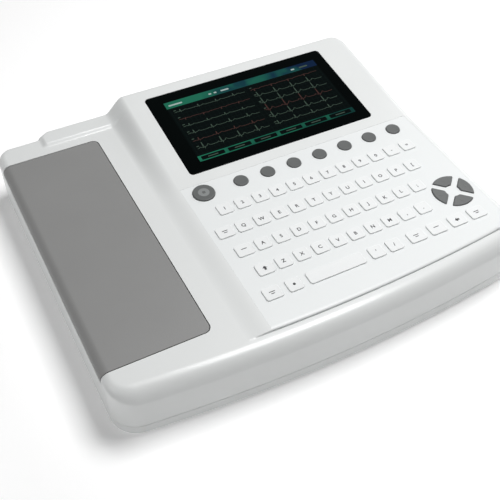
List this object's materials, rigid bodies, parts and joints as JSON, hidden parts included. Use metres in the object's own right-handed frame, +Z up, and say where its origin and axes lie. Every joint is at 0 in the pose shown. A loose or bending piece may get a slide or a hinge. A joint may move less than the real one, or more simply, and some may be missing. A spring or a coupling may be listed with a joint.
{
  "type": "ecg machine",
  "caption": "Desktop electrocardiograph: wide moulded case, printing door on the left, keyboard, arrow pad and tilted display on a raised console.",
  "frame": {"origin": "centre of the bounding box's footprint, at the underside of the rubber feet", "axes": "+X to the operator's right, along the width; +Y from the operator to the back; +Z up"},
  "size_m": [0.4, 0.3434, 0.0753],
  "materials": {
    "casing_white": "semi-gloss moulded ABS",
    "panel_white": "satin",
    "door_grey": "satin textured",
    "key_white": "satin silicone",
    "button_grey": "satin",
    "screen_glass": "polished black lens",
    "rubber_black": "matt",
    "plastic_black": "matt",
    "steel": "brushed",
    "aluminium": "satin",
    "paper_white": "matt thermal paper",
    "board_green": "solder mask",
    "battery_blue": "shrink wrap",
    "socket_grey": "satin",
    "brass": "satin"
  },
  "bodies": {
    "casing": {"top_shell": "casing_white", "base_shell": "casing_white", "control_panel": "panel_white", "keypad_mat": "key_white", "display_glass": "screen_glass", "lcd_module": "steel", "main_board": "board_green", "keypad_board": "board_green", "power_supply": "aluminium", "battery_pack": "battery_blue", "battery_cover": "casing_white", "hinge_pin_front": "steel", "hinge_pin_back": "steel", "print_head": "plastic_black", "head_heatsink": "aluminium", "paper_motor": "steel", "paper_tray": "plastic_black", "mains_inlet": "plastic_black", "rocker_bezel": "plastic_black", "ground_stud": "brass", "usb_port": "steel", "lan_port": "steel", "ecg_socket": "socket_grey", "case_screw_1": "steel", "case_screw_2": "steel", "case_screw_3": "steel", "case_screw_4": "steel", "foot_front_left": "rubber_black", "foot_front_right": "rubber_black", "foot_back_left": "rubber_black", "foot_back_right": "rubber_black"},
    "door": {"paper_door": "door_grey", "roller_bracket_front": "steel", "roller_bracket_back": "steel"},
    "platen": {"platen_roller": "rubber_black", "platen_shaft": "steel", "platen_gear": "plastic_black"},
    "pinion": {"motor_pinion": "brass"},
    "roll": {"paper_roll": "paper_white", "paper_spindle": "plastic_black"},
    "rocker": {"power_rocker": "button_grey"},
    "power_print_button_body": {"power_print_button": "button_grey"},
    "f_key_1_body": {"f_key_1": "button_grey"},
    "f_key_2_body": {"f_key_2": "button_grey"},
    "f_key_3_body": {"f_key_3": "button_grey"},
    "f_key_4_body": {"f_key_4": "button_grey"},
    "f_key_5_body": {"f_key_5": "button_grey"},
    "f_key_6_body": {"f_key_6": "button_grey"},
    "f_key_7_body": {"f_key_7": "button_grey"},
    "arrow_right_body": {"arrow_right": "button_grey"},
    "arrow_up_body": {"arrow_up": "button_grey"},
    "arrow_left_body": {"arrow_left": "button_grey"},
    "arrow_down_body": {"arrow_down": "button_grey"}
  },
  "joints": [
    {"name": "door_hinge", "type": "hinge", "parent": "casing", "child": "door", "pos_m": [-0.1123, 0, 0.0548], "axis": [0, 1, 0], "range_deg": [0, 85]},
    {"name": "platen_spin", "type": "hinge", "parent": "door", "child": "platen", "pos_m": [-0.186, 0, 0.0455], "axis": [0, 1, 0], "continuous": true},
    {"name": "pinion_spin", "type": "hinge", "parent": "casing", "child": "pinion", "pos_m": [-0.186, 0, 0.0347], "axis": [0, 1, 0], "continuous": true},
    {"name": "roll_spin", "type": "hinge", "parent": "casing", "child": "roll", "pos_m": [-0.137, 0, 0.0285], "axis": [0, 1, 0], "continuous": true},
    {"name": "rocker_tilt", "type": "hinge", "parent": "casing", "child": "rocker", "pos_m": [0.118, 0.16525, 0.036], "axis": [1, 0, 0], "range_deg": [0, 12]},
    {"name": "power_print_button_press", "type": "slide", "parent": "casing", "child": "power_print_button_body", "axis": [0, 0.0115, -0.9999], "range_m": [0, 0.0012], "stiffness_N_per_m": 300, "springref_m": -0.001},
    {"name": "f_key_1_press", "type": "slide", "parent": "casing", "child": "f_key_1_body", "axis": [0, 0.0115, -0.9999], "range_m": [0, 0.0012], "stiffness_N_per_m": 300, "springref_m": -0.001},
    {"name": "f_key_2_press", "type": "slide", "parent": "casing", "child": "f_key_2_body", "axis": [0, 0.0115, -0.9999], "range_m": [0, 0.0012], "stiffness_N_per_m": 300, "springref_m": -0.001},
    {"name": "f_key_3_press", "type": "slide", "parent": "casing", "child": "f_key_3_body", "axis": [0, 0.0115, -0.9999], "range_m": [0, 0.0012], "stiffness_N_per_m": 300, "springref_m": -0.001},
    {"name": "f_key_4_press", "type": "slide", "parent": "casing", "child": "f_key_4_body", "axis": [0, 0.0115, -0.9999], "range_m": [0, 0.0012], "stiffness_N_per_m": 300, "springref_m": -0.001},
    {"name": "f_key_5_press", "type": "slide", "parent": "casing", "child": "f_key_5_body", "axis": [0, 0.0115, -0.9999], "range_m": [0, 0.0012], "stiffness_N_per_m": 300, "springref_m": -0.001},
    {"name": "f_key_6_press", "type": "slide", "parent": "casing", "child": "f_key_6_body", "axis": [0, 0.0115, -0.9999], "range_m": [0, 0.0012], "stiffness_N_per_m": 300, "springref_m": -0.001},
    {"name": "f_key_7_press", "type": "slide", "parent": "casing", "child": "f_key_7_body", "axis": [0, 0.0115, -0.9999], "range_m": [0, 0.0012], "stiffness_N_per_m": 300, "springref_m": -0.001},
    {"name": "arrow_right_press", "type": "slide", "parent": "casing", "child": "arrow_right_body", "axis": [0, 0.0115, -0.9999], "range_m": [0, 0.0012], "stiffness_N_per_m": 300, "springref_m": -0.001},
    {"name": "arrow_up_press", "type": "slide", "parent": "casing", "child": "arrow_up_body", "axis": [0, 0.0115, -0.9999], "range_m": [0, 0.0012], "stiffness_N_per_m": 300, "springref_m": -0.001},
    {"name": "arrow_left_press", "type": "slide", "parent": "casing", "child": "arrow_left_body", "axis": [0, 0.0115, -0.9999], "range_m": [0, 0.0012], "stiffness_N_per_m": 300, "springref_m": -0.001},
    {"name": "arrow_down_press", "type": "slide", "parent": "casing", "child": "arrow_down_body", "axis": [0, 0.0115, -0.9999], "range_m": [0, 0.0012], "stiffness_N_per_m": 300, "springref_m": -0.001}
  ],
  "couplings": [
    {"joint": "pinion_spin", "follows": "platen_spin", "ratio": -1.4}
  ]
}
